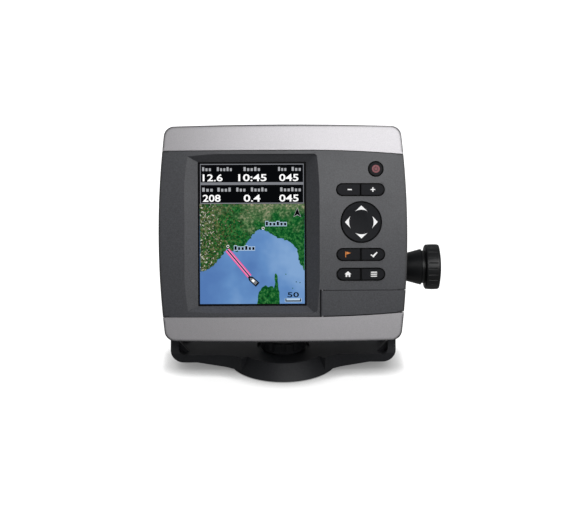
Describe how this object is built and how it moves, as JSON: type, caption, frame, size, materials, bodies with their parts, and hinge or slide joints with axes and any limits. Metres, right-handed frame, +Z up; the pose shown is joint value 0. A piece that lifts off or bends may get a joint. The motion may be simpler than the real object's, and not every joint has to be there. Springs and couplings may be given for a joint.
{
  "type": "mounted chartplotter display",
  "caption": "Keypad chartplotter with a portrait screen, four-way rocker and card door, tilting on a swivelling bail mount with lock knobs.",
  "frame": {"origin": "centre of the mount's underside, on the surface it stands on", "axes": "+Z up, the screen faces -Y, +X towards the tilt knob"},
  "size_m": [0.1663, 0.102, 0.1507],
  "materials": {
    "mount_plastic": "fine matt",
    "mount_pad": "matt",
    "front_plastic": "fine speckled matt",
    "silver_paint": "satin metallic paint",
    "case_plastic": "fine matt",
    "key_rubber": "satin",
    "window": "clear gloss",
    "display": "gloss",
    "steel": "plated",
    "brass": "turned",
    "board": "solder mask",
    "chip": "matt",
    "antenna_ceramic": "satin",
    "seal_rubber": "matt",
    "label_film": "satin"
  },
  "bodies": {
    "base": {"base_pad": "mount_pad", "base_plate": "mount_plastic", "base_insert": "brass"},
    "bracket": {"bail_bracket": "mount_plastic", "swivel_washer": "steel"},
    "swivel_lock": {"swivel_knob": "mount_plastic", "swivel_stud": "steel"},
    "head": {"pivot_inserts": "brass", "friction_washers": "mount_pad", "left_pivot_screw": "steel", "left_pivot_washer": "steel", "rear_housing": "case_plastic", "case_gasket": "seal_rubber", "case_screws": "steel", "front_chassis": "case_plastic", "face_panel": "front_plastic", "top_trim": "silver_paint", "bottom_trim": "silver_paint", "lens_window": "window", "lens_seal": "seal_rubber", "lcd_panel": "display", "backlight_frame": "steel", "keypad_mat": "key_rubber", "key_board": "board", "main_board": "board", "board_chips": "chip", "shield_can": "steel", "board_screws": "steel", "card_socket": "steel", "card_bay": "case_plastic", "gps_antenna": "antenna_ceramic", "beeper": "chip", "power_connector": "case_plastic", "connector_seal": "seal_rubber", "connector_contacts": "brass", "connector_nut": "case_plastic", "breather_vent": "case_plastic", "rear_label": "label_film", "door_hinge_pin": "steel", "rocker_post": "case_plastic"},
    "tilt_lock": {"tilt_knob": "mount_plastic", "tilt_knob_stud": "steel", "tilt_knob_cap": "mount_plastic"},
    "door": {"card_door": "front_plastic", "door_seal": "seal_rubber"},
    "rocker_pivot": {"rocker_pivot": "steel"},
    "rocker_pad": {"rocker_pad": "key_rubber"},
    "power_button": {"power_button": "key_rubber"},
    "zoom_out_key": {"zoom_out_key": "key_rubber"},
    "zoom_in_key": {"zoom_in_key": "key_rubber"},
    "mark_key": {"mark_key": "key_rubber"},
    "select_key": {"select_key": "key_rubber"},
    "home_key": {"home_key": "key_rubber"},
    "menu_key": {"menu_key": "key_rubber"}
  },
  "joints": [
    {"name": "swivel", "type": "hinge", "parent": "base", "child": "bracket", "pos_m": [0, 0, 0], "axis": [0, 0, 1], "continuous": true},
    {"name": "swivel_lock_turn", "type": "hinge", "parent": "bracket", "child": "swivel_lock", "pos_m": [0, 0, 0.01], "axis": [0, 0, 1], "range_deg": [0, 360]},
    {"name": "tilt", "type": "hinge", "parent": "bracket", "child": "head", "pos_m": [0, 0, 0.0609], "axis": [1, 0, 0], "range_deg": [-45, 20]},
    {"name": "tilt_lock_turn", "type": "hinge", "parent": "head", "child": "tilt_lock", "pos_m": [0.09, 0, 0.0609], "axis": [1, 0, 0], "range_deg": [0, 360]},
    {"name": "door_swing", "type": "hinge", "parent": "head", "child": "door", "pos_m": [0.02255, -0.03998, 0.05385], "axis": [0, 0.284, 0.9588], "range_deg": [-105, 0]},
    {"name": "power_button_press", "type": "slide", "parent": "head", "child": "power_button", "axis": [0, 0.9397, -0.342], "range_m": [0, 0.0006], "stiffness_N_per_m": 1000},
    {"name": "zoom_out_key_press", "type": "slide", "parent": "head", "child": "zoom_out_key", "axis": [0, 0.9397, -0.342], "range_m": [0, 0.0006], "stiffness_N_per_m": 1000},
    {"name": "zoom_in_key_press", "type": "slide", "parent": "head", "child": "zoom_in_key", "axis": [0, 0.9397, -0.342], "range_m": [0, 0.0006], "stiffness_N_per_m": 1000},
    {"name": "mark_key_press", "type": "slide", "parent": "head", "child": "mark_key", "axis": [0, 0.9397, -0.342], "range_m": [0, 0.0006], "stiffness_N_per_m": 1000},
    {"name": "select_key_press", "type": "slide", "parent": "head", "child": "select_key", "axis": [0, 0.9397, -0.342], "range_m": [0, 0.0006], "stiffness_N_per_m": 1000},
    {"name": "home_key_press", "type": "slide", "parent": "head", "child": "home_key", "axis": [0, 0.9397, -0.342], "range_m": [0, 0.0006], "stiffness_N_per_m": 1000},
    {"name": "menu_key_press", "type": "slide", "parent": "head", "child": "menu_key", "axis": [0, 0.9397, -0.342], "range_m": [0, 0.0006], "stiffness_N_per_m": 1000},
    {"name": "rocker_up_down", "type": "hinge", "parent": "head", "child": "rocker_pivot", "pos_m": [0.0451, -0.02201, 0.0969], "axis": [1, 0, 0], "range_deg": [-3, 3], "stiffness_Nm_per_rad": 0.3},
    {"name": "rocker_left_right", "type": "hinge", "parent": "rocker_pivot", "child": "rocker_pad", "pos_m": [0.0451, -0.02201, 0.0969], "axis": [0, 0.342, 0.9397], "range_deg": [-3, 3], "stiffness_Nm_per_rad": 0.3}
  ]
}
